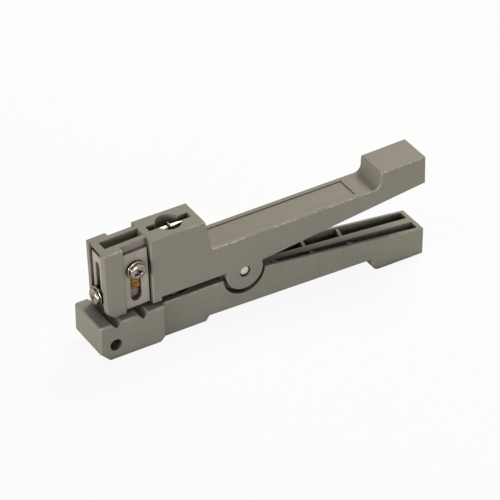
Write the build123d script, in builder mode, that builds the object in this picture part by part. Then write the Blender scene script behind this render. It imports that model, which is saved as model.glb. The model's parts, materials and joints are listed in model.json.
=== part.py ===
from build123d import *
from math import cos, pi, radians, sin, tan
import os

os.makedirs("parts", exist_ok=True)

# Sizes in millimetres. X runs from the jaw to the handles, Z is up, and Y is the hinge's direction.
# The lower arm stands on the foot under its handle, whose sole is at Z = 0.
length = 130.0
arm_width = 13.2
foot_drop = 4.7
edge_round = 0.5
edge_break = 0.4

# Jaw block of the lower arm, with its cable grooves and its cross hole
jaw_width = 17.6
jaw_length = 25.15
jaw_height = 14.65
jaw_nose = 4.0
jaw_heel = 1.9
jaw_round = 0.8
jaw_break = 0.6
groove_depth = 2.0
slit_groove_from_front = 6.5
ring_groove_from_front = 16.6
cross_hole_r = 2.25
cross_hole_from_front = 6.0
cross_hole_up = 6.0

# Lower arm behind the jaw
arm_depth = 14.25
belly_front = 42.0
belly_rise = 1.85
belly_chamfer = 1.3
belly_end_rise = 0.4
foot_length = 21.1
foot_toe_r = 3.0
foot_hollow_r = 0.6
lower_tip_depth = 6.1

# Hinge
pivot_from_front = 57.2
pivot_up = 15.2
pin_r = 2.1
pin_recess = 0.4
pin_chamfer = 0.25
pin_clearance = 0.05
lobe_r = 7.2
lobe_gap = 0.7
pocket_play = 0.7
lug_width = 6.2
lug_r = 6.7
lug_play = 0.8
lug_side_gap = 0.25

# Upper arm
landing_gap = 0.6
landing_step = 1.5
beam_top_up = 29.1
beam_top_slope = 0.6
underside_up = 17.2
underside_end_up = 25.3
rear_lean = 0.25
rear_setback = 0.1
pad_length = 18.4
pad_top_up = 35.8
pad_top_slope = 0.55
pad_front_slope = 0.4
pad_fillet = 2.7
panel_depth = 0.4
panel_width = 9.2
panel_end_gap = 9.4

# Head of the upper arm
head_front = 21.8
head_length = 20.1
head_lean = 2.0
head_up = 41.2
head_rear_slope = 2.6
head_fillet = 2.0

# Core cavities of the two handles, with their webs
wall = 1.3
cavity_from_pivot = 11.0
cavity_end_wall = 2.0
floor_thickness = 2.0
spine_top_width = 2.8
spine_flank = 0.3
spine_drop = 2.2
cavity_corner_r = 0.6
web_thickness = 1.2
web_pitch = 15.2
web_from_pivot = 13.6
web_drop = 0.5
web_scoop_r = 6.5
web_scoop_depth = 1.6
web_count = 3

# Closing spring, its two cross pins and the well that they sit in
spring_from_front = 31.5
well_r = 4.5
well_relief = 2.3
well_neck = 11.0
spring_wire_r = 0.45
spring_mean_r = 3.3
spring_pitch = 2.4
spring_turns = 11
coil_steps = 20
wire_sides = 6
spring_pin_r = 0.95
spring_pin_length = 15.3
spring_pin_chamfer = 0.2
spring_pin_depth = 2.2
hook_gap = 0.06
hook_tail = 2.4
notch_clearance = 0.05
notch_width = 2.7
notch_end_gap = 0.3

# Blade frame in front of the head
frame_front = 4.6
frame_gap = 1.0
frame_up = 41.3
frame_width = 12.1
frame_clearance = 0.75
post_depth = 7.4
post_toe = 2.6
wall_setback = 2.1
side_foot_rise = 0.5
side_seat_depth = 0.3
channel_width = 7.7
shaft_width = 4.1
front_bar = 2.7
front_bar_height = 1.0
side_strip_height = 3.0
tenon_width = 1.2
tenon_depth = 2.6
tenon_clearance = 0.05
tenon_end_gap = 1.0

# Slotted plates, blades and brass carriers
plate_thickness = 1.4
plate_edge = 0.15
plate_gap = 0.05
front_recess = 0.6
front_plate_drop = 2.7
front_plate_width = 6.3
front_plate_up = 18.6
blade_thickness = 0.4
carrier_thickness = 1.4
slide_gap = 0.05
key_slot_gap = 0.12
key_proud = 0.7
blade_hole_gap = 0.1
blade_taper = 2.6
blade_bevel = 1.1
blade_edge = 0.08
window_gap = 0.2

# Side carriage, for the ring cut
side_slot_width = 4.0
side_slot_bottom = 18.2
side_slot_height = 15.9
side_screw_up = 31.3
side_screw_from_front = 16.4
side_key_below = 8.0
side_key_above = 1.7
side_plate_gap = 0.5
side_carrier_width = 6.2
side_carrier_below = 8.7
side_carrier_above = 4.0
ring_blade_reach = 12.0
ring_blade_tip_width = 3.0

# Front carriage, for the lengthwise slit
front_slot_width = 2.7
front_slot_bottom = 20.7
front_slot_height = 14.8
front_screw_up = 22.1
front_carrier_width = 5.0
front_carrier_below = 3.6
front_carrier_above = 5.6
slit_blade_reach = 7.0
slit_blade_tip_width = 0.8

# Clamp screws and their washers
screw_r = 1.2
screw_head_r = 2.85
screw_head_height = 1.8
screw_dome = 0.9
screw_dome_height = 0.6
screw_tip = 0.5
thread_clearance = 0.05
washer_r = 3.45
washer_hole_gap = 0.15
washer_thickness = 0.5
lock_washer_r = 3.2
lock_washer_thickness = 0.7
lock_washer_split = 0.5
stack_gap = 0.06
recess_width = 0.75
recess_length = 3.1
recess_depth = 1.1
recess_turn = 20
washer_turn = 25

# Places worked out from the sizes
front_x = -length / 2
rear_x = length / 2
jaw_z = foot_drop
jaw_top = jaw_z + jaw_height
jaw_rear_x = front_x + jaw_length
arm_top = jaw_z + arm_depth
pivot_x = front_x + pivot_from_front
pivot_z = jaw_z + pivot_up
pocket_r = lobe_r + lobe_gap + pocket_play / 2
pocket_x = pivot_x - pocket_play / 2
pocket_z = pivot_z - pocket_play / 2
head_x = front_x + head_front
head_rear_x = head_x + head_length
head_top = jaw_z + head_up
beam_top = jaw_z + beam_top_up
landing_z = jaw_top + landing_gap
upper_rear_x = rear_x - rear_setback
cavity_x = pivot_x + cavity_from_pivot
cavity_end_x = rear_x - cavity_end_wall
cavity_half = arm_width / 2 - wall
spring_x = front_x + spring_from_front
frame_x = front_x + frame_front
frame_rear_x = head_x - frame_gap
frame_top = jaw_z + frame_up
frame_bottom = jaw_top + frame_clearance
side_screw_x = front_x + side_screw_from_front
side_screw_z = jaw_z + side_screw_up
side_slot_z = jaw_z + side_slot_bottom
front_screw_z = jaw_z + front_screw_up
front_slot_z = jaw_z + front_slot_bottom
front_plate_z = jaw_z + front_plate_up
lower_pin_z = jaw_z + spring_pin_depth
upper_pin_z = head_top - spring_pin_depth
notch_length = spring_pin_length + 2 * notch_end_gap

stack_depth = blade_thickness + carrier_thickness + 3 * slide_gap
wall_y = frame_width / 2 - wall_setback
seat_y = wall_y - side_seat_depth
post_x = frame_x + post_depth
side_bottom = frame_bottom + side_foot_rise
side_top = frame_top - side_strip_height
front_bar_z = frame_top - front_bar_height
tenon_y = (shaft_width / 2 + seat_y) / 2
tenon_z = side_bottom + tenon_end_gap

# Straight edges that both the outlines and the cavities follow
lower_edge = ((pivot_x + lobe_r, arm_top), (rear_x, jaw_z + lower_tip_depth))
belly_edge = ((front_x + belly_front + belly_chamfer, jaw_z + belly_rise),
              (rear_x - foot_length, jaw_z + belly_end_rise))
under_edge = ((pivot_x + lobe_r, jaw_z + underside_up), (upper_rear_x, jaw_z + underside_end_up))
top_edge = ((head_rear_x + head_rear_slope, beam_top),
            (upper_rear_x - pad_length - pad_front_slope, beam_top + beam_top_slope))


def line_z(x, edge):
    """Height at x of a straight edge, given by its two ends."""
    (x0, z0), (x1, z1) = edge
    return z0 + (z1 - z0) * (x - x0) / (x1 - x0)


def corner(sketch, x, z):
    """The corner of a sketch that lies nearest to a point."""
    return sketch.vertices().sort_by_distance((x, z, 0))[0]


def handle_web(x, rim, skin, side):
    """One cross web of a handle's core cavity, scooped out between the walls."""
    left, right = x - web_thickness / 2, x + web_thickness / 2
    with BuildPart() as web:
        with BuildSketch(Plane.XZ):
            Polygon((left, line_z(left, skin)), (right, line_z(right, skin)),
                    (right, line_z(right, rim) - side * web_drop), (left, line_z(left, rim) - side * web_drop),
                    align=None)
        extrude(amount=arm_width / 2, both=True)
        with BuildSketch(Plane.YZ.offset(left - 1)):
            with Locations((0, line_z(x, rim) + side * (web_scoop_r - web_drop - web_scoop_depth))):
                Circle(web_scoop_r)
        extrude(amount=web_thickness + 2, mode=Mode.SUBTRACT)
    return web.part


def handle_void(rim, skin, side):
    """Core cavity of a handle: all that is open between its walls, spine and webs.

    rim is the handle's open edge, skin its outer edge, and side is 1 where it opens upwards, else -1.
    """
    webs = [handle_web(pivot_x + web_from_pivot + i * web_pitch, rim, skin, side) for i in range(web_count)]
    x0, x1 = cavity_x, cavity_end_x
    floor0, floor1 = (line_z(x, skin) + side * floor_thickness for x in (x0, x1))
    beyond = side * floor_thickness
    with BuildPart() as void:
        with BuildSketch(Plane.XZ):
            Polygon((x0, floor0), (x1, floor1), (x1, line_z(x1, rim) + beyond), (x0, line_z(x0, rim) + beyond),
                    align=None)
        extrude(amount=cavity_half, both=True)
        fillet(void.edges().filter_by(Axis.Z), cavity_corner_r)
        spine_start = line_z(x0, rim) - side * spine_drop
        spine_plane = Plane(origin=(x0, 0, spine_start), x_dir=(0, 1, 0),
                            z_dir=(x1 - x0, 0, line_z(x1, rim) - spine_start))
        top_half, base_half = spine_top_width / 2, spine_top_width / 2 + spine_flank * arm_depth
        with BuildSketch(spine_plane.offset(-1)):
            Polygon((-top_half, 0), (top_half, 0), (base_half, -side * arm_depth), (-base_half, -side * arm_depth),
                    align=None)
        extrude(amount=x1 - x0 + 2, mode=Mode.SUBTRACT)
        for web in webs:
            add(web, mode=Mode.SUBTRACT)
    return void.part


def spring_well(pin_z, surface_z, far_z):
    """Well of the closing spring in one arm, with the notch that holds its cross pin."""
    up = 1 if surface_z > far_z else -1
    low, high = min(surface_z, far_z) - 1, max(surface_z, far_z) + 1
    neck_z = surface_z - up * well_neck
    with BuildPart() as well:
        with BuildSketch(Plane.XY.offset(low)):
            with Locations((spring_x, 0)):
                Circle(well_r)
        extrude(amount=high - low)
        if abs(surface_z - far_z) > well_neck:
            with BuildSketch(Plane.XY.offset(neck_z)):
                with Locations((spring_x + well_relief / 2, 0)):
                    SlotCenterToCenter(well_relief, 2 * well_r)
            extrude(amount=far_z - up - neck_z)
        with BuildSketch(Plane.YZ.offset(spring_x - notch_length / 2)):
            with Locations((0, pin_z)):
                Circle(spring_pin_r + notch_clearance)
            with Locations((0, pin_z + up * spring_pin_depth)):
                Rectangle(notch_width, 2 * spring_pin_depth)
        extrude(amount=notch_length)
    return well.part


# Lower arm: handle, foot, jaw block with two cable grooves, and the lug of the hinge
with BuildPart() as lower_blank:
    foot_top = belly_edge[1]
    foot_toe = (foot_top[0], 0)
    with BuildSketch(Plane.XZ) as lower_side:
        Polygon((jaw_rear_x - jaw_heel - 1, jaw_z), (front_x + belly_front, jaw_z), belly_edge[0], foot_top,
                foot_toe, (rear_x, 0), lower_edge[1], lower_edge[0],
                (jaw_rear_x - jaw_heel - 1, arm_top), align=None)
        fillet(corner(lower_side, *foot_top), foot_hollow_r)
        fillet(corner(lower_side, *foot_toe), foot_toe_r)
        fillet(corner(lower_side, rear_x, 0), edge_round)
        fillet(corner(lower_side, *lower_edge[1]), edge_round)
    extrude(amount=arm_width / 2, both=True)
    chamfer(lower_blank.faces().filter_by(Axis.Y).edges(), edge_break)

with BuildPart() as jaw_blank:
    with BuildSketch(Plane.XZ) as jaw_side:
        Polygon((front_x, jaw_z + jaw_nose), (front_x + jaw_nose, jaw_z), (jaw_rear_x - jaw_heel, jaw_z),
                (jaw_rear_x, jaw_z + jaw_heel), (jaw_rear_x, jaw_top), (front_x, jaw_top), align=None)
        fillet(jaw_side.vertices(), jaw_round)
    extrude(amount=jaw_width / 2, both=True)
    chamfer(jaw_blank.faces().filter_by(Axis.Y).edges(), jaw_break)

with BuildPart() as lobe_pockets:
    with BuildSketch(Plane.XZ.offset(lug_width / 2)):
        with Locations((pocket_x, pocket_z)):
            Circle(pocket_r)
    extrude(amount=arm_width / 2)
    mirror(about=Plane.XZ)

with BuildPart() as lower_arm:
    add(lower_blank.part)
    add(jaw_blank.part)
    with BuildSketch(Plane.XZ):
        for groove_from_front in (slit_groove_from_front, ring_groove_from_front):
            groove_x = front_x + groove_from_front
            Polygon((groove_x, jaw_top - groove_depth), (groove_x + 2 * groove_depth, jaw_top + groove_depth),
                    (groove_x - 2 * groove_depth, jaw_top + groove_depth), align=None)
        with Locations((front_x + cross_hole_from_front, jaw_z + cross_hole_up)):
            Circle(cross_hole_r)
    extrude(amount=jaw_width, both=True, mode=Mode.SUBTRACT)
    add(lobe_pockets.part, mode=Mode.SUBTRACT)
    with BuildSketch(Plane.XZ):
        with Locations((pivot_x, pivot_z)):
            Circle(lug_r)
    extrude(amount=lug_width / 2, both=True)
    with BuildSketch(Plane.XZ):
        with Locations((pivot_x, pivot_z)):
            Circle(pin_r + pin_clearance)
    extrude(amount=lug_width, both=True, mode=Mode.SUBTRACT)
    add(handle_void(lower_edge, belly_edge, 1), mode=Mode.SUBTRACT)
    add(spring_well(lower_pin_z, jaw_z, arm_top), mode=Mode.SUBTRACT)
lower_arm.part.label = "lower_arm"
export_step(lower_arm.part, "parts/lower_arm.step")

# The head's front face leans towards the jaw's nose, and all that stands in front of it leans with it
lean = Pos(head_x, 0, landing_z) * Rot(0, -head_lean, 0) * Pos(-head_x, 0, -landing_z)
head_tip_x = head_x - (head_top - landing_z) * tan(radians(head_lean))

# Upper arm: head, beam, thumb pad and the two ears of the hinge
with BuildPart() as upper_blank:
    beam_front = top_edge[0]
    pad_front = (upper_rear_x - pad_length, jaw_z + pad_top_up)
    rear_top = (upper_rear_x - rear_lean, jaw_z + pad_top_up + pad_top_slope)
    with BuildSketch(Plane.XZ) as upper_side:
        Polygon((head_x, landing_z), (jaw_rear_x, landing_z), (jaw_rear_x, landing_z + landing_step),
                (pivot_x - lobe_r, landing_z + landing_step), under_edge[0], under_edge[1], rear_top, pad_front,
                top_edge[1], beam_front, (head_rear_x, head_top), (head_tip_x, head_top), align=None)
        with Locations((pivot_x, pivot_z)):
            Circle(lobe_r)
        fillet(corner(upper_side, *beam_front), head_fillet)
        fillet(corner(upper_side, *top_edge[1]), pad_fillet)
        for sharp in (rear_top, pad_front, (head_rear_x, head_top)):
            fillet(corner(upper_side, *sharp), edge_round)
    extrude(amount=arm_width / 2, both=True)
    chamfer(upper_blank.faces().filter_by(Axis.Y).edges(), edge_break)

with BuildPart() as tenon_grooves:
    with BuildSketch(Plane.XY.offset(landing_z - 1)):
        with Locations((head_x - 1, tenon_y), (head_x - 1, -tenon_y)):
            Rectangle(1 + tenon_depth + tenon_clearance, tenon_width + 2 * tenon_clearance,
                      align=(Align.MIN, Align.CENTER))
    extrude(amount=side_top + tenon_clearance - landing_z + 1)

with BuildPart() as upper_arm:
    add(upper_blank.part)
    ear_gap = lug_width / 2 + lug_side_gap
    with BuildSketch(Plane.XZ):
        with Locations((pivot_x, pivot_z)):
            Circle(lug_r + lug_play)
    extrude(amount=ear_gap, both=True, mode=Mode.SUBTRACT)
    with BuildSketch(Plane.XZ):
        with Locations((pivot_x, pivot_z)):
            Circle(pin_r)
    extrude(amount=arm_width, both=True, mode=Mode.SUBTRACT)
    add(handle_void(under_edge, top_edge, -1), mode=Mode.SUBTRACT)
    add(spring_well(upper_pin_z, head_top, landing_z), mode=Mode.SUBTRACT)
    with BuildSketch(Plane.XZ):
        panel_start, panel_end = head_rear_x, pad_front[0] - panel_end_gap
        Polygon((panel_start, line_z(panel_start, top_edge) - panel_depth),
                (panel_end, line_z(panel_end, top_edge) - panel_depth),
                (panel_end, line_z(panel_end, top_edge) + panel_depth),
                (panel_start, line_z(panel_start, top_edge) + panel_depth), align=None)
    extrude(amount=panel_width / 2, both=True, mode=Mode.SUBTRACT)
    add(lean * tenon_grooves.part, mode=Mode.SUBTRACT)
upper_arm.part.label = "upper_arm"
export_step(upper_arm.part, "parts/upper_arm.step")

# Hinge pin, pressed into the ears of the upper arm
with BuildPart() as pivot_pin:
    with BuildSketch(Plane.XZ):
        with Locations((pivot_x, pivot_z)):
            Circle(pin_r)
    extrude(amount=arm_width / 2 - pin_recess, both=True)
    chamfer(pivot_pin.edges(), pin_chamfer)
pivot_pin.part.label = "pivot_pin"
export_step(pivot_pin.part, "parts/pivot_pin.step")

# Cross pins that the hooks of the closing spring hold on to
for pin_name, pin_z in (("lower_spring_pin", lower_pin_z), ("upper_spring_pin", upper_pin_z)):
    with BuildPart() as spring_pin:
        with BuildSketch(Plane.YZ.offset(spring_x - spring_pin_length / 2)):
            with Locations((0, pin_z)):
                Circle(spring_pin_r)
        extrude(amount=spring_pin_length)
        chamfer(spring_pin.edges().filter_by(GeomType.CIRCLE), spring_pin_chamfer)
    spring_pin.part.label = pin_name
    export_step(spring_pin.part, f"parts/{pin_name}.step")

# Closing spring: an open coil between two hooks, each bent round its cross pin.
# Each turn of the coil is made in equal straight steps.
hook_r = spring_pin_r + hook_gap + spring_wire_r
coil_height = spring_pitch * spring_turns
coil_z = (lower_pin_z + upper_pin_z - coil_height) / 2
coil_points = []
for step in range(spring_turns * coil_steps + 1):
    turn = step / coil_steps
    coil_points.append((spring_x + spring_mean_r * cos(2 * pi * turn), spring_mean_r * sin(2 * pi * turn),
                        coil_z + spring_pitch * turn))
with BuildPart() as closing_spring:
    with BuildLine() as coil_line:
        Polyline(*coil_points)
    coil = coil_line.line
    with BuildSketch(Plane(origin=coil @ 0, z_dir=coil % 0)):
        RegularPolygon(spring_wire_r, wire_sides)
    sweep(path=coil, transition=Transition.RIGHT)
    for pin_z, coil_end, up in ((lower_pin_z, coil_z, -1), (upper_pin_z, coil_z + coil_height, 1)):
        with BuildLine() as hook_line:
            l1 = Line((spring_x + spring_mean_r, 0, coil_end), (spring_x, -hook_r, coil_end + up * spring_pitch))
            l2 = Line(l1 @ 1, (spring_x, -hook_r, pin_z))
            l3 = ThreePointArc(l2 @ 1, (spring_x, 0, pin_z + up * hook_r), (spring_x, hook_r, pin_z))
            Line(l3 @ 1, (spring_x, hook_r, pin_z - up * hook_tail))
        with BuildSketch(Plane(origin=l1 @ 0, z_dir=l1 % 0)):
            RegularPolygon(spring_wire_r, wire_sides)
        sweep(path=hook_line.line, transition=Transition.RIGHT)
closing_spring.part.label = "closing_spring"
export_step(closing_spring.part, "parts/closing_spring.step")

# Blade frame: two posts, a shaft between its walls, and seats for the slotted plates
side_window = side_carrier_width + 2 * window_gap
front_window = front_carrier_width + 2 * window_gap
front_depth = front_recess + plate_thickness
with BuildPart() as blade_frame:
    with BuildSketch(Plane.XY.offset(frame_bottom)):
        with Locations((frame_x, 0)):
            Rectangle(post_depth, frame_width, align=(Align.MIN, Align.CENTER))
    extrude(amount=frame_top - frame_bottom)
    fillet(blade_frame.edges().filter_by(Axis.Z), edge_round)
    chamfer(blade_frame.faces().sort_by(Axis.Z)[-1].edges(), edge_break)
    with BuildSketch(Plane.XZ):
        Polygon((frame_x - 1, frame_bottom - 1), (frame_x + post_toe + 1, frame_bottom - 1),
                (frame_x - 1, frame_bottom + post_toe + 1), align=None)
    extrude(amount=frame_width, both=True, mode=Mode.SUBTRACT)
    with BuildSketch(Plane.XY.offset(side_bottom)):
        with Locations((frame_x + front_bar, 0)):
            Rectangle(frame_rear_x - frame_x - front_bar, 2 * wall_y, align=(Align.MIN, Align.CENTER))
            Rectangle(head_x - frame_x - front_bar, 2 * seat_y, align=(Align.MIN, Align.CENTER))
    extrude(amount=frame_top - side_bottom)
    with BuildSketch(Plane.XY.offset(frame_bottom)):
        with Locations((frame_x + front_bar, 0)):
            Rectangle(length, shaft_width, align=(Align.MIN, Align.CENTER))
        with Locations((frame_x - 1, 0)):
            Rectangle(1 + front_recess, channel_width, align=(Align.MIN, Align.CENTER))
    extrude(amount=frame_top, mode=Mode.SUBTRACT)
    with BuildSketch(Plane.XY.offset(frame_bottom)):
        with Locations((frame_x, 0)):
            Rectangle(front_depth, channel_width, align=(Align.MIN, Align.CENTER))
            Rectangle(front_depth + stack_depth, front_window, align=(Align.MIN, Align.CENTER))
    extrude(amount=front_bar_z - frame_bottom, mode=Mode.SUBTRACT)
    with BuildSketch(Plane.XY.offset(frame_bottom)):
        with Locations((post_x, -wall_y - 1)):
            Rectangle(length, 1 + side_seat_depth, align=Align.MIN)
        with Locations((side_screw_x, -wall_y)):
            Rectangle(side_window, wall_y, align=(Align.CENTER, Align.MIN))
    extrude(amount=side_top - frame_bottom, mode=Mode.SUBTRACT)
    with BuildSketch(Plane.XY.offset(tenon_z)):
        with Locations((head_x - 1, tenon_y), (head_x - 1, -tenon_y)):
            Rectangle(tenon_depth + 1, tenon_width, align=(Align.MIN, Align.CENTER))
    extrude(amount=side_top - tenon_z)

# Slotted plates, on the near wall and in the front channel of the blade frame.
# Each seat plane is a plate's outer face, with its origin on the screw's axis and its own +Y upwards.
side_seat = Plane(lean * Plane(origin=(side_screw_x, -seat_y - plate_thickness, side_screw_z),
                               x_dir=(1, 0, 0), z_dir=(0, -1, 0)).location)
front_seat = Plane(lean * Plane(origin=(frame_x + front_recess, 0, front_screw_z),
                                x_dir=(0, -1, 0), z_dir=(-1, 0, 0)).location)
side_plate_left = post_x + plate_gap
side_plate_right = head_x - side_plate_gap


def slotted_plate(seat, middle, width, low, high, slot_low, slot_height, slot_width):
    """Plate with an upright slot for the clamp screw. Places are measured from the screw's axis."""
    with BuildPart() as plate:
        with BuildSketch(seat):
            with Locations((middle, (low + high) / 2)):
                Rectangle(width, high - low)
            with Locations((0, slot_low + slot_height / 2)):
                SlotOverall(slot_height, slot_width, rotation=90, mode=Mode.SUBTRACT)
        extrude(amount=-plate_thickness)
        outer_face = plate.faces().sort_by(Axis(seat.origin, seat.z_dir))[-1]
        chamfer(outer_face.edges().filter_by(GeomType.LINE), plate_edge)
    return plate.part


def key_outline(allowance):
    """Outline of the side carrier's key, round above and flat below, with an allowance all round."""
    width = side_slot_width - 2 * key_slot_gap + 2 * allowance
    with BuildSketch() as outline:
        with Locations((0, (side_key_above - side_key_below) / 2)):
            SlotOverall(side_key_above + side_key_below + 2 * allowance, width, rotation=90)
        with Locations((0, width / 2 - side_key_below - allowance)):
            RectangleRounded(width, width, edge_round)
    return outline.sketch


with BuildSketch() as screw_hole:
    Circle(screw_r + blade_hole_gap)


def carriage_blade(seat, width, top, reach, tip_width, hole):
    """Blade behind its plate, pointed downwards and ground from its inner face."""
    outer = -plate_thickness - slide_gap
    with BuildPart() as blade:
        with BuildSketch(seat.offset(outer - blade_thickness)):
            Polygon((-width / 2, top), (-width / 2, blade_taper - reach), (-tip_width / 2, -reach),
                    (tip_width / 2, -reach), (width / 2, blade_taper - reach), (width / 2, top), align=None)
            add(hole, mode=Mode.SUBTRACT)
        extrude(amount=blade_thickness)
        inner_tip = blade.faces().sort_by(Axis(seat.origin, seat.z_dir))[0].edges().sort_by(Axis.Z)[0]
        chamfer(inner_tip, blade_thickness - blade_edge, blade_bevel)
    return blade.part


def brass_carrier(seat, width, below, above, key):
    """Threaded brass block behind the blade, with a key that runs in the plate's slot where one is given."""
    face = -plate_thickness - 2 * slide_gap - blade_thickness
    with BuildPart() as carrier:
        with BuildSketch(seat.offset(face - carrier_thickness)):
            with Locations((0, (above - below) / 2)):
                RectangleRounded(width, above + below, edge_round)
        extrude(amount=carrier_thickness)
        if key:
            with BuildSketch(seat.offset(face)):
                add(key)
            extrude(amount=2 * slide_gap + blade_thickness + key_proud)
        with BuildSketch(seat):
            Circle(screw_r + thread_clearance)
        extrude(amount=-length, mode=Mode.SUBTRACT)
    return carrier.part


def flat_washer(seat):
    """Plain washer under the screw's head."""
    with BuildPart() as washer:
        with BuildSketch(seat.offset(slide_gap + lock_washer_thickness)):
            Circle(washer_r)
            Circle(screw_r + washer_hole_gap, mode=Mode.SUBTRACT)
        extrude(amount=washer_thickness)
    return washer.part


def split_washer(seat):
    """Spring washer on the plate, split at one side."""
    with BuildPart() as washer:
        with BuildSketch(seat.offset(slide_gap)):
            Circle(lock_washer_r)
            Circle(screw_r + washer_hole_gap, mode=Mode.SUBTRACT)
            with Locations((lock_washer_r, 0)):
                Rectangle(2 * lock_washer_r - 2 * screw_r, lock_washer_split, rotation=washer_turn, mode=Mode.SUBTRACT)
        extrude(amount=lock_washer_thickness)
    return washer.part


def clamp_screw(seat):
    """Pan-head clamp screw with a cross recess, from the washers through to the brass carrier."""
    base = slide_gap + washer_thickness + lock_washer_thickness + stack_gap
    with BuildPart() as screw:
        with BuildSketch(seat.offset(base)):
            Circle(screw_head_r)
        extrude(amount=screw_head_height)
        top_face = screw.faces().sort_by(Axis(seat.origin, seat.z_dir))[-1]
        chamfer(top_face.edges(), screw_dome_height, screw_dome, reference=top_face)
        with BuildSketch(seat.offset(base)):
            Circle(screw_r)
        extrude(amount=-base - plate_thickness - stack_depth - screw_tip)
        with BuildSketch(seat.offset(base + screw_head_height)):
            Rectangle(recess_length, recess_width, rotation=recess_turn)
            Rectangle(recess_width, recess_length, rotation=recess_turn)
        extrude(amount=-recess_depth, mode=Mode.SUBTRACT)
    return screw.part


pieces = {
    "blade_frame": lean * blade_frame.part,
    "side_plate": slotted_plate(side_seat, (side_plate_left + side_plate_right) / 2 - side_screw_x,
                                side_plate_right - side_plate_left, side_bottom - side_screw_z,
                                side_top - plate_gap - side_screw_z, side_slot_z - side_screw_z,
                                side_slot_height, side_slot_width),
    "front_plate": slotted_plate(front_seat, 0, front_plate_width, front_plate_z - front_screw_z,
                                 frame_top - front_plate_drop - front_screw_z, front_slot_z - front_screw_z,
                                 front_slot_height, front_slot_width),
    "ring_blade": carriage_blade(side_seat, side_carrier_width, side_carrier_above, ring_blade_reach,
                                 ring_blade_tip_width, key_outline(blade_hole_gap)),
    "slit_blade": carriage_blade(front_seat, front_carrier_width, front_carrier_above, slit_blade_reach,
                                 slit_blade_tip_width, screw_hole.sketch),
    "side_carrier": brass_carrier(side_seat, side_carrier_width, side_carrier_below, side_carrier_above,
                                  key_outline(0)),
    "front_carrier": brass_carrier(front_seat, front_carrier_width, front_carrier_below, front_carrier_above, None),
    "side_washer": flat_washer(side_seat),
    "front_washer": flat_washer(front_seat),
    "side_lock_washer": split_washer(side_seat),
    "front_lock_washer": split_washer(front_seat),
    "side_screw": clamp_screw(side_seat),
    "front_screw": clamp_screw(front_seat),
}
for piece_name, piece in pieces.items():
    piece.label = piece_name
    export_step(piece, f"parts/{piece_name}.step")
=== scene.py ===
import json
from math import atan2, cos, pi, radians, sin

import bpy
from mathutils import Matrix, Vector


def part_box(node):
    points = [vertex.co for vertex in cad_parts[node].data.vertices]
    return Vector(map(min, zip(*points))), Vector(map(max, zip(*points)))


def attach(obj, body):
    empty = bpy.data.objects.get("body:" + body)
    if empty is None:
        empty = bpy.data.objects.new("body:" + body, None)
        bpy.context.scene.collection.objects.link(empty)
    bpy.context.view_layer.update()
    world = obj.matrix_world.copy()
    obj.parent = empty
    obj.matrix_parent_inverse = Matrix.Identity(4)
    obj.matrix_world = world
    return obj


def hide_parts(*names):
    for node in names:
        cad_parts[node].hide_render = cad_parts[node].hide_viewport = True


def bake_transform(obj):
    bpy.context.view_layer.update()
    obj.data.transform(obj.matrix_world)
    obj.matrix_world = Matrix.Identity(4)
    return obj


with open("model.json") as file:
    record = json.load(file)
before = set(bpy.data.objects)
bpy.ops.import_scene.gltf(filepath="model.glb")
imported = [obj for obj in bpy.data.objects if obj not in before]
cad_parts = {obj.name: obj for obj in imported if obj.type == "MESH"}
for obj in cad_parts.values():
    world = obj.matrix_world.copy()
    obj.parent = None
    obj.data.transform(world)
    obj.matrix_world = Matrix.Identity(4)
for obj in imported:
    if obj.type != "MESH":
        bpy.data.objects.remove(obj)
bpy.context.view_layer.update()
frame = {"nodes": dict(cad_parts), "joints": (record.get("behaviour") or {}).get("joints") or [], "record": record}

record = frame["record"]
body_of_node = {node: body for body, nodes in record["behaviour"]["bodies"].items()
                for node in nodes}
slot_of = {entry["node"]: entry["material_slot"] for entry in record["subparts"]}
MM = 0.001

# Camera of the photograph: its direction, its distance and the point it looks at
CAMERA_AZIMUTH = radians(-31.28)
CAMERA_ELEVATION = radians(35.97)
CAMERA_DISTANCE = 1.0004
CAMERA_TARGET = Vector((-1.96, 0.0, 22.53)) * MM
CAMERA_LENS = 212.8
CAMERA_SENSOR = 36.0
CAMERA_CLIP = (0.05, 20.0)

# Where the tool stands, in millimetres: on its foot, and on the jaw block's lower edge,
# which is higher by the drop
FOOT_LENGTH = 18.4
JAW_NOSE = 4.0
FOOT_DROP = 4.7

# Cross webs of both handles, in millimetres
WEB_FROM_PIVOT = 13.6
WEB_PITCH = 15.2
WEB_COUNT = 3


def box_mm(node):
    """Lowest and highest corner of a CAD node, in millimetres."""
    low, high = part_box(node)
    return low / MM, high / MM


def middle_mm(node):
    """Middle of a CAD node's box, in millimetres."""
    low, high = box_mm(node)
    return (low + high) / 2


def joint_named(name):
    """A joint of the record, by its name."""
    return next(joint for joint in frame["joints"] if joint["name"] == name)


# Shader nodes that the stage and the finishes share

def add_math(tree, operation, first, second=None):
    """Math node whose inputs are sockets or plain numbers."""
    node = tree.nodes.new("ShaderNodeMath")
    node.operation = operation
    for index, value in enumerate((first, second)):
        if value is None:
            continue
        if isinstance(value, (int, float)):
            node.inputs[index].default_value = value
        else:
            tree.links.new(value, node.inputs[index])
    return node.outputs[0]


def add_product(tree, *factors):
    """Product of several sockets or plain numbers."""
    product = factors[0]
    for factor in factors[1:]:
        product = add_math(tree, "MULTIPLY", product, factor)
    return product


def add_weighted(tree, first, second, weights):
    """Sum of two sockets, each with its weight."""
    return add_math(tree, "ADD", add_product(tree, first, weights[0]),
                    add_product(tree, second, weights[1]))


def add_noise(tree, vector, scale, detail, roughness=0.55):
    """Noise texture on a vector socket; its scale is in cycles per metre."""
    node = tree.nodes.new("ShaderNodeTexNoise")
    node.inputs["Detail"].default_value = detail
    node.inputs["Roughness"].default_value = roughness
    tree.links.new(vector, node.inputs["Vector"])
    if isinstance(scale, (int, float)):
        node.inputs["Scale"].default_value = scale
    else:
        tree.links.new(scale, node.inputs["Scale"])
    return node.outputs["Fac"]


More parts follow.
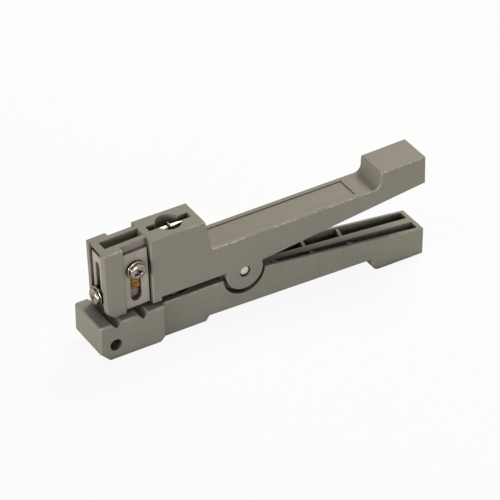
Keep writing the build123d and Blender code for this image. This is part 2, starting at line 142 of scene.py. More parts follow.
def add_range(tree, value, low, high, to_low=0.0, to_high=1.0):
    """Map a value from one range to another, clamped."""
    node = tree.nodes.new("ShaderNodeMapRange")
    node.inputs["From Min"].default_value = low
    node.inputs["From Max"].default_value = high
    node.inputs["To Min"].default_value = to_low
    node.inputs["To Max"].default_value = to_high
    tree.links.new(value, node.inputs["Value"])
    return node.outputs["Result"]


def split_vector(tree, vector):
    """The three parts of a vector socket."""
    node = tree.nodes.new("ShaderNodeSeparateXYZ")
    tree.links.new(vector, node.inputs[0])
    return node.outputs[0], node.outputs[1], node.outputs[2]


def mix_colour(tree, factor, first, second):
    """Colour mix of two sockets or colours."""
    node = tree.nodes.new("ShaderNodeMix")
    node.data_type = "RGBA"
    tree.links.new(factor, node.inputs["Factor"])
    for socket, value in ((node.inputs[6], first), (node.inputs[7], second)):
        if isinstance(value, tuple):
            socket.default_value = (*value, 1.0)
        else:
            tree.links.new(value, socket)
    return node.outputs[2]


def add_bump(tree, height, strength, distance, normal=None):
    """Bump on a height, over a normal where one is given."""
    node = tree.nodes.new("ShaderNodeBump")
    node.inputs["Strength"].default_value = strength
    node.inputs["Distance"].default_value = distance
    tree.links.new(height, node.inputs["Height"])
    if normal is not None:
        tree.links.new(normal, node.inputs["Normal"])
    return node.outputs["Normal"]


def mix_shaders(tree, factor, first, second, output):
    """Mix two shaders and send them to an output node."""
    mix = tree.nodes.new("ShaderNodeMixShader")
    tree.links.new(factor, mix.inputs["Fac"])
    tree.links.new(first, mix.inputs[1])
    tree.links.new(second, mix.inputs[2])
    tree.links.new(mix.outputs["Shader"], output.inputs["Surface"])


# Camera, floor, world and lamps, with distances in metres

FLOOR_HALF = 3.0
FLOOR_GAP = 0.00002
FLOOR_GREY = (0.78, 0.78, 0.78)
FLOOR_ROUGHNESS = 0.9
FLOOR_SPECULAR = 0.1
FLOOR_GLOW = 0.92
SKY_COLOUR = (0.97, 0.98, 1.0)
SKY_STRENGTH = 0.14
WHITE = (1.0, 1.0, 1.0)
LAMP_AIM = Vector((0.0, 0.0, 0.02))


def add_camera():
    """The photograph's camera, a long lens from in front of the jaw and above."""
    back = Vector((sin(CAMERA_AZIMUTH) * cos(CAMERA_ELEVATION),
                   -cos(CAMERA_AZIMUTH) * cos(CAMERA_ELEVATION), sin(CAMERA_ELEVATION)))
    bpy.ops.object.camera_add(location=CAMERA_TARGET + back * CAMERA_DISTANCE)
    camera = bpy.context.object
    camera.name = "photo_camera"
    camera.rotation_mode = "QUATERNION"
    camera.rotation_quaternion = (-back).to_track_quat("-Z", "Y")
    camera.data.lens = CAMERA_LENS
    camera.data.sensor_width = CAMERA_SENSOR
    camera.data.clip_start, camera.data.clip_end = CAMERA_CLIP
    bpy.context.scene.camera = camera


def make_floor_material():
    """Matt pale floor that takes shadows, and that the camera sees nearly white."""
    material = bpy.data.materials.new("pale_floor")
    material.use_nodes = True
    tree = material.node_tree
    tree.nodes.clear()
    output = tree.nodes.new("ShaderNodeOutputMaterial")
    surface = tree.nodes.new("ShaderNodeBsdfPrincipled")
    surface.inputs["Base Color"].default_value = (*FLOOR_GREY, 1.0)
    surface.inputs["Roughness"].default_value = FLOOR_ROUGHNESS
    surface.inputs["Specular IOR Level"].default_value = FLOOR_SPECULAR
    white = tree.nodes.new("ShaderNodeEmission")
    white.inputs["Color"].default_value = (*WHITE, 1.0)
    path = tree.nodes.new("ShaderNodeLightPath")
    glow = add_product(tree, path.outputs["Is Camera Ray"], FLOOR_GLOW)
    mix_shaders(tree, glow, surface.outputs["BSDF"], white.outputs["Emission"], output)
    return material


def add_floor():
    """Pale floor that the foot and the jaw block both stand on, so it leans a little."""
    low, high = box_mm("lower_arm")
    foot_x, nose_x = high.x - FOOT_LENGTH, low.x + JAW_NOSE
    lean = atan2(FOOT_DROP, foot_x - nose_x)
    bpy.ops.mesh.primitive_plane_add(size=2 * FLOOR_HALF, location=(foot_x * MM, 0, -FLOOR_GAP),
                                     rotation=(0, lean, 0))
    floor = bpy.context.object
    floor.name = "floor"
    floor.data.materials.append(make_floor_material())


def add_world():
    """Even pale surroundings; the camera, glass and glossy surfaces see them white."""
    world = bpy.data.worlds.new("studio")
    bpy.context.scene.world = world
    world.use_nodes = True
    tree = world.node_tree
    tree.nodes.clear()
    output = tree.nodes.new("ShaderNodeOutputWorld")
    soft = tree.nodes.new("ShaderNodeBackground")
    soft.inputs["Color"].default_value = (*SKY_COLOUR, 1.0)
    soft.inputs["Strength"].default_value = SKY_STRENGTH
    white = tree.nodes.new("ShaderNodeBackground")
    white.inputs["Color"].default_value = (*WHITE, 1.0)
    path = tree.nodes.new("ShaderNodeLightPath")
    seen = add_math(tree, "MAXIMUM", path.outputs["Is Camera Ray"],
                    path.outputs["Is Transmission Ray"])
    seen = add_math(tree, "MAXIMUM", seen, path.outputs["Is Glossy Ray"])
    mix_shaders(tree, seen, soft.outputs["Background"], white.outputs["Background"], output)


def add_lamp(name, place, size, power, colour):
    """Square soft box at a place, aimed at the middle of the tool."""
    aim = LAMP_AIM - Vector(place)
    bpy.ops.object.light_add(type="AREA", location=place,
                             rotation=aim.to_track_quat("-Z", "Y").to_euler())
    lamp = bpy.context.object
    lamp.name = name
    lamp.data.shape = "SQUARE"
    lamp.data.size = size
    lamp.data.energy = power
    lamp.data.color = colour


# Modelling steps that several pieces share

WELD_DISTANCE = 0.002


def activate(piece):
    """Select one piece alone and make it the active one."""
    bpy.ops.object.select_all(action="DESELECT")
    piece.select_set(True)
    bpy.context.view_layer.objects.active = piece


def apply_modifier(piece, kind, **settings):
    """Add a modifier with its settings and apply it."""
    modifier = piece.modifiers.new(kind.lower(), kind)
    for key, value in settings.items():
        setattr(modifier, key, value)
    activate(piece)
    bpy.ops.object.modifier_apply(modifier=modifier.name)


def combine(piece, operation, other):
    """Join another piece to this one or cut it away; the other piece is used up."""
    apply_modifier(piece, "BOOLEAN", operation=operation, solver="EXACT", object=other)
    bpy.data.objects.remove(other)


def smooth_shading(piece, angle):
    """Shade smooth across edges that turn by less than an angle, in degrees."""
    activate(piece)
    bpy.ops.object.shade_smooth_by_angle(angle=radians(angle))


def lathe(name, profile, steps):
    """Turned piece: a profile of (radius, height) points in millimetres, spun about the Z axis."""
    bpy.ops.mesh.primitive_plane_add(size=MM)
    piece = bpy.context.object
    piece.name = name
    bpy.ops.object.mode_set(mode="EDIT")
    bpy.ops.mesh.select_all(action="SELECT")
    bpy.ops.mesh.merge(type="CENTER")
    bpy.ops.transform.translate(value=(profile[0][0] * MM, 0, profile[0][1] * MM))
    for (r0, z0), (r1, z1) in zip(profile, profile[1:]):
        bpy.ops.mesh.extrude_vertices_move(
            TRANSFORM_OT_translate={"value": ((r1 - r0) * MM, 0, (z1 - z0) * MM)})
    bpy.ops.mesh.select_all(action="SELECT")
    bpy.ops.mesh.spin(steps=steps, angle=2 * pi, center=(0, 0, 0), axis=(0, 0, 1))
    bpy.ops.mesh.select_all(action="SELECT")
    bpy.ops.mesh.remove_doubles(threshold=WELD_DISTANCE * MM)
    bpy.ops.mesh.normals_make_consistent(inside=False)
    bpy.ops.object.mode_set(mode="OBJECT")
    return piece


def set_in_place(piece, place, axis, turn=0.0):
    """Turn a piece about its own Z axis, point that axis along another and move it there."""
    rotation = Vector(axis).to_track_quat("Z", "Y").to_matrix().to_4x4()
    piece.matrix_world = Matrix.Translation(place) @ rotation @ Matrix.Rotation(turn, 4, "Z")
    activate(piece)
    bpy.ops.object.transform_apply(location=True, rotation=True, scale=True)


def dress(piece, node_name, material):
    """Give a piece its material, and hide the CAD node that it stands for."""
    piece.data.materials.clear()
    piece.data.materials.append(material)
    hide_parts(node_name)


def stand_for(piece, node_name, material):
    """Dress a piece as a CAD node and let it ride on that node's body."""
    dress(piece, node_name, material)
    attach(piece, body_of_node[node_name])


# Clamp screws: pan head, cross recess and threaded shank. Heights are above the plate's face

SCREW_HEAD_R = 2.85
SCREW_HEAD_SEAT = 1.31
SCREW_HEAD_SIDE = 0.85
SCREW_HEAD_HEIGHT = 1.55
SCREW_HEAD_EDGE = 0.12
SCREW_TIP = -3.85
TIP_CHAMFER = 0.2
THREAD_R = 1.2
THREAD_ROOT_R = 0.95
THREAD_PITCH = 0.5
SCREW_STEPS = 64
DOME_STEPS = 10
RECESS_LENGTH = 4.6
RECESS_WIDTH = 1.2
RECESS_DEPTH = 1.25
RECESS_TAPER = 0.45
RECESS_EDGE = 0.06
HUB_R = 0.72
HUB_FLARE = 1.5
HUB_POINT = 0.5
HUB_ABOVE = 0.5
HUB_STEPS = 24

# How far each screw's recess is turned
SCREW_TURNS = {"side": radians(20), "front": radians(35)}


def screw_profile():
    """Half section of the screw, from its tip up the thread and over the domed head."""
    profile = [(0.0, SCREW_TIP), (THREAD_ROOT_R - TIP_CHAMFER, SCREW_TIP)]
    height = SCREW_TIP + TIP_CHAMFER
    while height + THREAD_PITCH < SCREW_HEAD_SEAT:
        profile += [(THREAD_ROOT_R, height), (THREAD_R, height + THREAD_PITCH / 2)]
        height += THREAD_PITCH
    profile += [(THREAD_ROOT_R, height), (THREAD_ROOT_R, SCREW_HEAD_SEAT),
                (SCREW_HEAD_R - SCREW_HEAD_EDGE, SCREW_HEAD_SEAT),
                (SCREW_HEAD_R, SCREW_HEAD_SEAT + SCREW_HEAD_EDGE)]
    side_top = SCREW_HEAD_SEAT + SCREW_HEAD_SIDE
    crown = SCREW_HEAD_HEIGHT - SCREW_HEAD_SIDE
    for step in range(DOME_STEPS + 1):
        angle = pi / 2 * step / DOME_STEPS
        profile.append((SCREW_HEAD_R * cos(angle), side_top + crown * sin(angle)))
    return profile


def recess_wing(length, width, top):
    """One wing of the cross bit, half above the screw's top, which narrows downwards."""
    bpy.ops.mesh.primitive_cube_add(size=1.0, location=(0, 0, top * MM))
    wing = bpy.context.object
    wing.scale = (length * MM, width * MM, 2 * RECESS_DEPTH * MM)
    bpy.ops.object.transform_apply(location=True, rotation=True, scale=True)
    bpy.ops.object.mode_set(mode="EDIT")
    bpy.ops.mesh.select_all(action="DESELECT")
    bpy.ops.object.mode_set(mode="OBJECT")
    for vertex in wing.data.vertices:
        vertex.select = vertex.co.z < top * MM
    bpy.ops.object.mode_set(mode="EDIT")
    bpy.ops.transform.resize(value=(RECESS_TAPER, RECESS_TAPER, 1.0), center_override=(0, 0, 0))
    bpy.ops.object.mode_set(mode="OBJECT")
    return wing


def recess_cutter(name):
    """Cross bit that cuts the recess: two tapered wings and a pointed hub."""
    top = SCREW_HEAD_SEAT + SCREW_HEAD_HEIGHT
    cross = recess_wing(RECESS_LENGTH, RECESS_WIDTH, top)
    combine(cross, "UNION", recess_wing(RECESS_WIDTH, RECESS_LENGTH, top))
    floor = top - RECESS_DEPTH
    hub = lathe(name, [(0.0, floor - HUB_POINT), (HUB_R, floor),
                       (HUB_R * HUB_FLARE, top + HUB_ABOVE), (0.0, top + HUB_ABOVE)], HUB_STEPS)
    combine(hub, "UNION", cross)
    return hub


def add_clamp_screw(node_name, joint_name, turn):
    """One clamp screw on its joint's axis, with its recess turned by an angle."""
    joint = joint_named(joint_name)
    screw = lathe(node_name + "_turned", screw_profile(), SCREW_STEPS)
    combine(screw, "DIFFERENCE", recess_cutter("cross_bit"))
    apply_modifier(screw, "BEVEL", width=RECESS_EDGE * MM, segments=2, limit_method="ANGLE",
                   angle_limit=radians(50), use_clamp_overlap=True)
    smooth_shading(screw, angle=40)
    set_in_place(screw, Vector(joint["pos_m"]), joint["axis"], turn)
    stand_for(screw, node_name, finishes["nickel_steel"])


# Washers and pins

WASHER_R = 3.45
WASHER_HOLE_R = 1.35
WASHER_LOW = 0.75
WASHER_HIGH = 1.25
WASHER_EDGE = 0.12
WASHER_STEPS = 72
PIN_STEPS = 48

# One point shapes a pin's domed end: its share of the radius, and the share of the dome
# that has fallen away there
DOME_POINT_OUT = 0.6
DOME_POINT_FALL = 0.3


def ring_profile(inner, outer, low, high, edge):
    """Closed section of a washer with its corners broken."""
    return [(inner + edge, low), (outer - edge, low), (outer, low + edge), (outer, high - edge),
            (outer - edge, high), (inner + edge, high), (inner, high - edge), (inner, low + edge),
            (inner + edge, low)]


def add_washer(node_name, joint_name):
    """Plain plated washer under a clamp screw's head."""
    joint = joint_named(joint_name)
    section = ring_profile(WASHER_HOLE_R, WASHER_R, WASHER_LOW, WASHER_HIGH, WASHER_EDGE)
    washer = lathe(node_name + "_turned", section, WASHER_STEPS)
    smooth_shading(washer, angle=50)
    set_in_place(washer, Vector(joint["pos_m"]), joint["axis"])
    stand_for(washer, node_name, finishes["nickel_steel"])


def add_pin(node_name, axis, edge, dome):
    """Straight pin of its node's own size along an axis, with broken edges and domed ends."""
    low, high = box_mm(node_name)
    _, across, length = sorted(high - low)
    radius, half = across / 2, length / 2
    end = [(0.0, half), (radius * DOME_POINT_OUT, half - dome * DOME_POINT_FALL),
           (radius - edge, half - dome), (radius, half - dome - edge)]
    pin = lathe(node_name + "_turned", [(r, -z) for r, z in end] + end[::-1], PIN_STEPS)
    smooth_shading(pin, angle=50)
    set_in_place(pin, middle_mm(node_name) * MM, axis)
    stand_for(pin, node_name, polished_pin)


# Closing spring: drawn wire, with a hook at each end

SPRING_R = 3.3
WIRE_R = 0.43
SPRING_TURNS = 15
SPRING_HEIGHT = 26.4
STEPS_PER_TURN = 28
HOOK_R = 1.44
HOOK_TAIL = 2.2
HOOK_STEPS = 10

# Points from the coil to a hook: share of the coil's radius, share of the hook's radius, and rise
HOOK_RISE = ((0.75, 0.55, 0.7), (0.3, 0.9, 1.5), (0.0, 1.0, 2.6))


def spring_points():
    """Centre line of the spring: lower hook, coil and upper hook, each hook round its pin."""
    lower_pin, upper_pin = middle_mm("lower_spring_pin"), middle_mm("upper_spring_pin")
    x = upper_pin.x
    base = (lower_pin.z + upper_pin.z - SPRING_HEIGHT) / 2
    coil = []
    for step in range(SPRING_TURNS * STEPS_PER_TURN + 1):
        turn = step / STEPS_PER_TURN
        coil.append((x + SPRING_R * cos(2 * pi * turn), SPRING_R * sin(2 * pi * turn),
                     base + SPRING_HEIGHT * turn / SPRING_TURNS))
    hooks = []
    for pin_z, coil_end, up in ((lower_pin.z, base, -1), (upper_pin.z, base + SPRING_HEIGHT, 1)):
        rise = [(x + SPRING_R * out, -HOOK_R * side, coil_end + up * height)
                for out, side, height in HOOK_RISE]
        angles = [pi * step / HOOK_STEPS for step in range(HOOK_STEPS + 1)]
        bend = [(x, -HOOK_R * cos(angle), pin_z + up * HOOK_R * sin(angle)) for angle in angles]
        hooks.append(rise + bend + [(x, HOOK_R, pin_z - up * HOOK_TAIL)])
    return hooks[0][::-1] + coil + hooks[1]


def add_closing_spring():
    """Wire spring between the two arms."""
    points = spring_points()
    line = bpy.data.curves.new("spring_line", "CURVE")
    line.dimensions = "3D"
    line.bevel_depth = WIRE_R * MM
    line.bevel_resolution = 3
    line.use_fill_caps = True
    run = line.splines.new("POLY")
    run.points.add(len(points) - 1)
    for point, place in zip(run.points, points):
        point.co = (*(Vector(place) * MM), 1.0)
    spring = bpy.data.objects.new("closing_spring_wire", line)
    bpy.context.scene.collection.objects.link(spring)
    activate(spring)
    bpy.ops.object.convert(target="MESH")
    spring = bpy.context.object
    smooth_shading(spring, angle=60)
    dress(spring, "closing_spring", finishes["spring_steel"])
    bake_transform(spring)


# Shader node groups, with noise scales in cycles per metre

VECTOR = "NodeSocketVector"
FLOAT = "NodeSocketFloat"
NODE_SAMPLES = 6
CORNER_PATCHES = 900.0
WEAR_AND_HIGHLIGHT_STRETCHES = 85.0
GRAIN_FINE = 4200.0
GRAIN_SLOW = 240.0
GRAIN_BROAD = 55.0
DUST_SPECKS = 2400.0
HUE_DRIFT = 90.0
METAL_LINES = 3000.0

# Values of each noise between which its effect comes in, and what is left of two effects below
PATCH_FADE = (0.25, 0.60)
PATCH_LEAST = 0.6
BREAKUP_FADE = (0.40, 0.62)
STRETCH_FADE = (0.42, 0.56)
STRETCH_LEAST = 0.30
DUST_FADE = (0.64, 0.72)
HUE_FADE = (0.40, 0.60)
DULL_FADE = (0.40, 0.58)

# Weights of the two noises in the grain's height, in its mottling and in the metals' dull areas
HEIGHT_WEIGHTS = (0.7, 0.6)
MOTTLE_WEIGHTS = (0.45, 0.55)
DULL_WEIGHTS = (0.4, 0.6)

# Rubbed edges, pale partly from wear and partly from a painted highlight: how far they face up
# and sideways, as a product of the normal's two parts, and their distance from the tool's
# middle plane, in millimetres
WEAR_AND_HIGHLIGHT_FACING = (0.12, 0.36)
WEAR_AND_HIGHLIGHT_FROM = 5.3
WEAR_AND_HIGHLIGHT_FULL = 5.8

# Sink marks are on faces whose normal is this much sideways
SIDE_FACING = (0.90, 0.98)

# Distances from the middle of a web, in millimetres: where the sink strip fades, and where
# its line of painted shade begins and ends
SINK_STRIP = (0.95, 0.65)
SINK_LINE_INNER = (0.45, 0.70)
SINK_LINE_OUTER = (1.05, 0.75)

# The line of painted shade on the jaw's side of a web is weaker, and changes over within
# this share of the pitch
SINK_JAW_SHARE = 0.35
SINK_CHANGE = 0.02


def new_group(name, inputs, outputs):
    """Empty shader group with its sockets: name, socket type and default of each input."""
    group = bpy.data.node_groups.new(name, "ShaderNodeTree")
    for label, kind, default in inputs:
        socket = group.interface.new_socket(name=label, in_out="INPUT", socket_type=kind)
        if default is not None:
            socket.default_value = default
    for label, kind in outputs:
        group.interface.new_socket(name=label, in_out="OUTPUT", socket_type=kind)
    entry = group.nodes.new("NodeGroupInput")
    leave = group.nodes.new("NodeGroupOutput")
    return group, entry.outputs, leave.inputs


def make_corner_shade_group():
    """Painted shade: colour darkened in deep corners and recesses, where shade falls."""
    group, given, result = new_group(
        "painted_corner_shade",
        [("Vector", VECTOR, None), ("Reach", FLOAT, 0.0020), ("Shallow", FLOAT, 0.9),
         ("Deep", FLOAT, 0.55)],
        [("Mask", FLOAT)])
    open_share = group.nodes.new("ShaderNodeAmbientOcclusion")
    open_share.samples = NODE_SAMPLES
    group.links.new(given["Reach"], open_share.inputs["Distance"])
    deep = group.nodes.new("ShaderNodeMapRange")
    group.links.new(open_share.outputs["AO"], deep.inputs["Value"])
    group.links.new(given["Shallow"], deep.inputs["From Min"])
    group.links.new(given["Deep"], deep.inputs["From Max"])
    patch = add_noise(group, given["Vector"], CORNER_PATCHES, detail=3.0)
    uneven = add_range(group, patch, *PATCH_FADE, to_low=PATCH_LEAST)
    group.links.new(add_product(group, deep.outputs["Result"], uneven), result["Mask"])
    return group


def make_edge_group():
    """Rounded edges, and a mask of the upper outer ones, pale partly where hands rub the plastic and partly as a
    painted highlight.
    """
    group, given, result = new_group(
        "worn_and_highlit_edges",
        [("Vector", VECTOR, None), ("Width", FLOAT, 0.00022), ("Breakup", FLOAT, 1300.0)],
        [("Mask", FLOAT), ("Rounded", VECTOR)])
    bevel = group.nodes.new("ShaderNodeBevel")
    bevel.samples = NODE_SAMPLES
    group.links.new(given["Width"], bevel.inputs["Radius"])
    group.links.new(bevel.outputs["Normal"], result["Rounded"])
    own = group.nodes.new("ShaderNodeVectorTransform")
    own.vector_type = "NORMAL"
    own.convert_from = "WORLD"
    own.convert_to = "OBJECT"
    group.links.new(bevel.outputs["Normal"], own.inputs[0])
    _, sideways, upward = split_vector(group, own.outputs[0])
    corner = add_product(group, add_math(group, "ABSOLUTE", sideways), upward)
    edge = add_range(group, corner, *WEAR_AND_HIGHLIGHT_FACING)
    _, across, _ = split_vector(group, given["Vector"])
    outside = add_range(group, add_math(group, "ABSOLUTE", across), WEAR_AND_HIGHLIGHT_FROM * MM,
                        WEAR_AND_HIGHLIGHT_FULL * MM)
    broken = add_noise(group, given["Vector"], given["Breakup"], detail=4.0, roughness=0.7)
    stretches = add_noise(group, given["Vector"], WEAR_AND_HIGHLIGHT_STRETCHES, detail=2.0)
    mask = add_product(group, edge, outside, add_range(group, broken, *BREAKUP_FADE),
                       add_range(group, stretches, *STRETCH_FADE, to_low=STRETCH_LEAST))
    group.links.new(mask, result["Mask"])
    return group


def make_grain_group():
    """Moulded grain: a fine height, a slow mottling, pale specks and a drift of hue."""
    group, given, result = new_group(
        "moulded_grain", [("Vector", VECTOR, None)],
        [("Height", FLOAT), ("Mottle", FLOAT), ("Speck", FLOAT), ("Hue", FLOAT)])
    fine = add_noise(group, given["Vector"], GRAIN_FINE, detail=3.0)
    slow = add_noise(group, given["Vector"], GRAIN_SLOW, detail=3.0)
    broad = add_noise(group, given["Vector"], GRAIN_BROAD, detail=2.0)
    dust = add_noise(group, given["Vector"], DUST_SPECKS, detail=5.0, roughness=0.7)
    hue = add_noise(group, given["Vector"], HUE_DRIFT, detail=2.0)
    group.links.new(add_weighted(group, fine, slow, HEIGHT_WEIGHTS), result["Height"])
    group.links.new(add_weighted(group, slow, broad, MOTTLE_WEIGHTS), result["Mottle"])
    group.links.new(add_range(group, dust, *DUST_FADE), result["Speck"])
    group.links.new(add_range(group, hue, *HUE_FADE), result["Hue"])
    return group


def make_lines_group():
    """Fine drawn or ground lines along one axis of a metal piece, and its roughness."""
    group, given, result = new_group(
        "ground_lines",
        [("Vector", VECTOR, None), ("Stretch", VECTOR, (1.0, 1.0, 1.0)), ("Cloud", FLOAT, 500.0)],
        [("Height", FLOAT), ("Rough", FLOAT)])
    stretch = group.nodes.new("ShaderNodeVectorMath")
    stretch.operation = "MULTIPLY"
    group.links.new(given["Vector"], stretch.inputs[0])
    group.links.new(given["Stretch"], stretch.inputs[1])
    lines = add_noise(group, stretch.outputs["Vector"], METAL_LINES, detail=4.0, roughness=0.6)
    cloud = add_noise(group, given["Vector"], given["Cloud"], detail=3.0)
    uneven = add_weighted(group, lines, cloud, DULL_WEIGHTS)
    group.links.new(lines, result["Height"])
    group.links.new(add_range(group, uneven, *DULL_FADE), result["Rough"])
    return group


def make_sink_group():
    """Sink marks on the arms' sides, where the webs join the walls: a sunk strip between two lines of painted
    shade.
    """
    group, given, result = new_group(
        "sink_marks", [("Vector", VECTOR, None), ("Normal", VECTOR, None)],
        [("Line", FLOAT), ("Strip", FLOAT)])
    along, _, _ = split_vector(group, given["Vector"])
    _, facing, _ = split_vector(group, given["Normal"])
    first_web = joint_named("jaw_hinge")["pos_m"][0] + WEB_FROM_PIVOT * MM
    from_first = add_math(group, "SUBTRACT", along, first_web)
    pitches = add_math(group, "DIVIDE", from_first, WEB_PITCH * MM)
    nearest = add_math(group, "MAXIMUM", add_math(group, "ROUND", pitches), 0.0)
    nearest = add_math(group, "MINIMUM", nearest, WEB_COUNT - 1.0)
    off_web = add_math(group, "SUBTRACT", pitches, nearest)
    apart = add_product(group, add_math(group, "ABSOLUTE", off_web), WEB_PITCH)
    side = add_range(group, add_math(group, "ABSOLUTE", facing), *SIDE_FACING)
    behind = add_range(group, off_web, -SINK_CHANGE, SINK_CHANGE, to_low=SINK_JAW_SHARE)
    line = add_product(group, add_range(group, apart, *SINK_LINE_INNER),
                       add_range(group, apart, *SINK_LINE_OUTER), side, behind)
    group.links.new(line, result["Line"])
    group.links.new(add_product(group, add_range(group, apart, *SINK_STRIP), side), result["Strip"])
    return group


def place_group(tree, group, vector):
    """Instance of a group, read on Object coordinates."""
    node = tree.nodes.new("ShaderNodeGroup")
    node.node_tree = group
    tree.links.new(vector, node.inputs["Vector"])
    return node


# Finishes of this tool

PLASTIC_OLIVE = (0.214, 0.206, 0.160)
PLASTIC_WARM = (0.226, 0.209, 0.170)
PLASTIC_DEEP = (0.196, 0.184, 0.146)
# Pale colour of dust specks, and of edges that are partly worn and partly a painted highlight
PLASTIC_PALE_WEAR_AND_HIGHLIGHT = (0.54, 0.48, 0.38)
# Painted shade for the lines along the sink marks
PLASTIC_SINK_SHADE = (0.150, 0.132, 0.106)
# Painted shade for the plastic's deep corners and recesses
PLASTIC_PAINTED_SHADE = (0.038, 0.034, 0.025)
PLATE_TONE = (0.385, 0.338, 0.287)
PLATE_OTHER_TONE = (0.350, 0.310, 0.262)
# Painted shade for the metals' deep corners and recesses
METAL_PAINTED_SHADE = (0.030, 0.024, 0.018)
POLISHED = (0.93, 0.92, 0.87)
POLISHED_DULL = (0.76, 0.74, 0.69)
NICKEL = (0.50, 0.455, 0.40)
NICKEL_DULL = (0.27, 0.235, 0.195)
WIRE = (0.22, 0.17, 0.12)
WIRE_DULL = (0.12, 0.09, 0.06)
BRASS = (0.50, 0.28, 0.04)
BRASS_AGED = (0.08, 0.045, 0.012)
STEEL = (0.30, 0.262, 0.228)
STEEL_DULL = (0.21, 0.185, 0.16)
DARK_STEEL = (0.10, 0.09, 0.08)
DARK_STEEL_DULL = (0.045, 0.04, 0.035)

# How strongly each effect shows in the plastic and the metals. Reach and depths are in metres
DEEP_SHARE = 0.7
SPECK_SHARE = 0.16
SINK_SHADE_SHARE = 0.50
SINK_STRIP_SHARE = 0.9
# Painted shade in deep corners: how far it reaches, where it starts and where it is full
PLASTIC_CORNER_SHADE = {"Reach": 0.0050, "Shallow": 0.80, "Deep": 0.28}
PLASTIC_ROUGHNESS = (0.50, 0.60)
PLASTIC_SPECULAR = 0.35

# Values of the mottling between which the plastic turns deep, and goes from smooth to rough
MOTTLE_DEEP = (0.50, 0.34)
MOTTLE_ROUGH = (0.35, 0.65)

# Relief of the grain and of the metals' lines
GRAIN_STRENGTH = 0.30
GRAIN_DEPTH = 0.00006
METAL_LINE_DEPTH = 0.00002


def start_material(name):
    """New material with its Principled shader, Object coordinates and the object's own normal."""
    material = bpy.data.materials.new(name)
    material.use_nodes = True
    tree = material.node_tree
    tree.nodes.clear()
    output = tree.nodes.new("ShaderNodeOutputMaterial")
    shader = tree.nodes.new("ShaderNodeBsdfPrincipled")
    tree.links.new(shader.outputs["BSDF"], output.inputs["Surface"])
    coordinates = tree.nodes.new("ShaderNodeTexCoord")
    return material, tree, shader, coordinates.outputs["Object"], coordinates.outputs["Normal"]


def make_plastic(name, first, second, with_sinks=False):
    """Warm grey moulded plastic with a fine grain, edges pale from wear and a painted highlight, painted shade in
    corners, and sinks where asked.
    """
    material, tree, shader, where, own_normal = start_material(name)
    grain = place_group(tree, groups["grain"], where).outputs
    edges = place_group(tree, groups["edges"], where).outputs
    corners = place_group(tree, groups["corners"], where)
    for label, value in PLASTIC_CORNER_SHADE.items():
        corners.inputs[label].default_value = value
    deep = add_product(tree, add_range(tree, grain["Mottle"], *MOTTLE_DEEP), DEEP_SHARE)
    colour = mix_colour(tree, deep, mix_colour(tree, grain["Hue"], first, second), PLASTIC_DEEP)
    specks = add_product(tree, grain["Speck"], SPECK_SHARE)
    colour = mix_colour(tree, specks, colour, PLASTIC_PALE_WEAR_AND_HIGHLIGHT)
    height = grain["Height"]
    if with_sinks:
        sinks = place_group(tree, groups["sinks"], where)
        tree.links.new(own_normal, sinks.inputs["Normal"])
        line = add_product(tree, sinks.outputs["Line"], SINK_SHADE_SHARE)
        strip = add_product(tree, sinks.outputs["Strip"], SINK_STRIP_SHARE)
        # Painted shade along the lines at the sink marks' edges
        colour = mix_colour(tree, line, colour, PLASTIC_SINK_SHADE)
        height = add_math(tree, "SUBTRACT", height, strip)
    # Pale upper outer edges: partly wear, partly a painted highlight
    colour = mix_colour(tree, edges["Mask"], colour, PLASTIC_PALE_WEAR_AND_HIGHLIGHT)
    # Painted shade: darker in deep corners and recesses
    colour = mix_colour(tree, corners.outputs["Mask"], colour, PLASTIC_PAINTED_SHADE)
    roughness = add_range(tree, grain["Mottle"], *MOTTLE_ROUGH, *PLASTIC_ROUGHNESS)
    relief = add_bump(tree, height, GRAIN_STRENGTH, GRAIN_DEPTH, edges["Rounded"])
    tree.links.new(colour, shader.inputs["Base Color"])
    tree.links.new(roughness, shader.inputs["Roughness"])
    tree.links.new(relief, shader.inputs["Normal"])
    shader.inputs["Specular IOR Level"].default_value = PLASTIC_SPECULAR
    return material


def make_metal(name, bright, dull, roughness, stretch=(1.0, 1.0, 1.0), bump=0.1, cloud=500.0):
    """Metal finish with fine lines, a duller tone where the polish is uneven, and painted shade in deep corners.
    """
    material, tree, shader, where, _ = start_material(name)
    lines = place_group(tree, groups["lines"], where)
    lines.inputs["Stretch"].default_value = stretch
    lines.inputs["Cloud"].default_value = cloud
    corners = place_group(tree, groups["corners"], where)
    colour = mix_colour(tree, lines.outputs["Rough"], bright, dull)
    # Painted shade: darker in deep corners and recesses
    colour = mix_colour(tree, corners.outputs["Mask"], colour, METAL_PAINTED_SHADE)
    uneven = add_range(tree, lines.outputs["Rough"], 0.0, 1.0, *roughness)
    relief = add_bump(tree, lines.outputs["Height"], bump, METAL_LINE_DEPTH)
    tree.links.new(colour, shader.inputs["Base Color"])
    tree.links.new(uneven, shader.inputs["Roughness"])
    tree.links.new(relief, shader.inputs["Normal"])
    shader.inputs["Metallic"].default_value = 1.0
    return material


add_camera()
add_floor()
add_world()
add_lamp("key_lamp", place=(0.62, 0.38, 0.95), size=0.50, power=12.0, colour=(1.0, 0.94, 0.86))
add_lamp("left_lamp", place=(-1.10, -0.17, 0.13), size=0.35, power=11.6, colour=(1.0, 0.98, 1.0))
add_lamp("front_lamp", place=(-0.10, -1.10, 0.22), size=0.50, power=5.4, colour=(0.96, 0.98, 1.02))

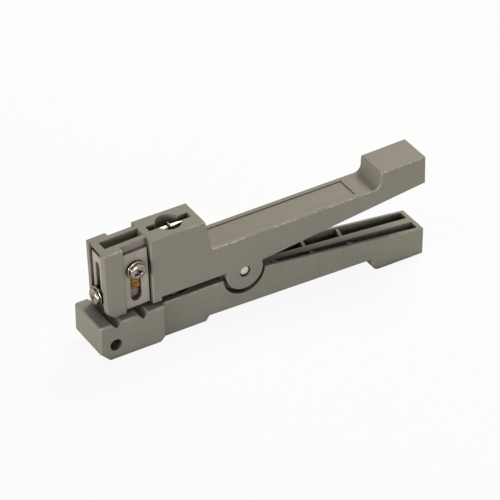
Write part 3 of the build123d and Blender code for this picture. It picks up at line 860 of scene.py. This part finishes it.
groups = {"corners": make_corner_shade_group(), "edges": make_edge_group(), "grain": make_grain_group(),
          "lines": make_lines_group(), "sinks": make_sink_group()}

# Finish of each material slot, and of the pieces that differ from their slot
finishes = {
    "grey_plastic": make_plastic("frame_plastic", PLASTIC_OLIVE, PLASTIC_WARM),
    "nickel_steel": make_metal("bright_nickel", NICKEL, NICKEL_DULL, roughness=(0.12, 0.30),
                               bump=0.05, cloud=900.0),
    "spring_steel": make_metal("drawn_wire", WIRE, WIRE_DULL, roughness=(0.18, 0.34),
                               stretch=(1.0, 1.0, 0.2), bump=0.05),
    "blade_steel": make_metal("ground_blade", STEEL, STEEL_DULL, roughness=(0.3, 0.5),
                              stretch=(0.1, 0.1, 1.0)),
    # Near-black steel, with a duller tone in patches
    "blued_steel": make_metal("near_black_steel", DARK_STEEL, DARK_STEEL_DULL,
                              roughness=(0.3, 0.5)),
    "brass": make_metal("turned_brass", BRASS, BRASS_AGED, roughness=(0.22, 0.45),
                        stretch=(1.0, 1.0, 0.3), cloud=1500.0),
}
arm_plastic = make_plastic("arm_plastic", PLASTIC_OLIVE, PLASTIC_WARM, with_sinks=True)
plate_plastic = make_plastic("plate_plastic", PLATE_TONE, PLATE_OTHER_TONE)
polished_pin = make_metal("polished_pin", POLISHED, POLISHED_DULL, roughness=(0.10, 0.26),
                          bump=0.05)
node_finishes = {"lower_arm": arm_plastic, "upper_arm": arm_plastic, "side_plate": plate_plastic,
                 "front_plate": plate_plastic}
for node_name, node in frame["nodes"].items():
    node.data.materials.clear()
    node.data.materials.append(node_finishes.get(node_name, finishes[slot_of[node_name]]))

for place, turn in SCREW_TURNS.items():
    add_clamp_screw(place + "_screw", place + "_screw_turn", turn)
for place in SCREW_TURNS:
    add_washer(place + "_washer", place + "_screw_turn")
add_pin("pivot_pin", axis=(0, 1, 0), edge=0.25, dome=0.12)
for node_name in ("lower_spring_pin", "upper_spring_pin"):
    add_pin(node_name, axis=(1, 0, 0), edge=0.2, dome=0.05)
add_closing_spring()

bpy.context.scene.view_settings.view_transform = "Standard"
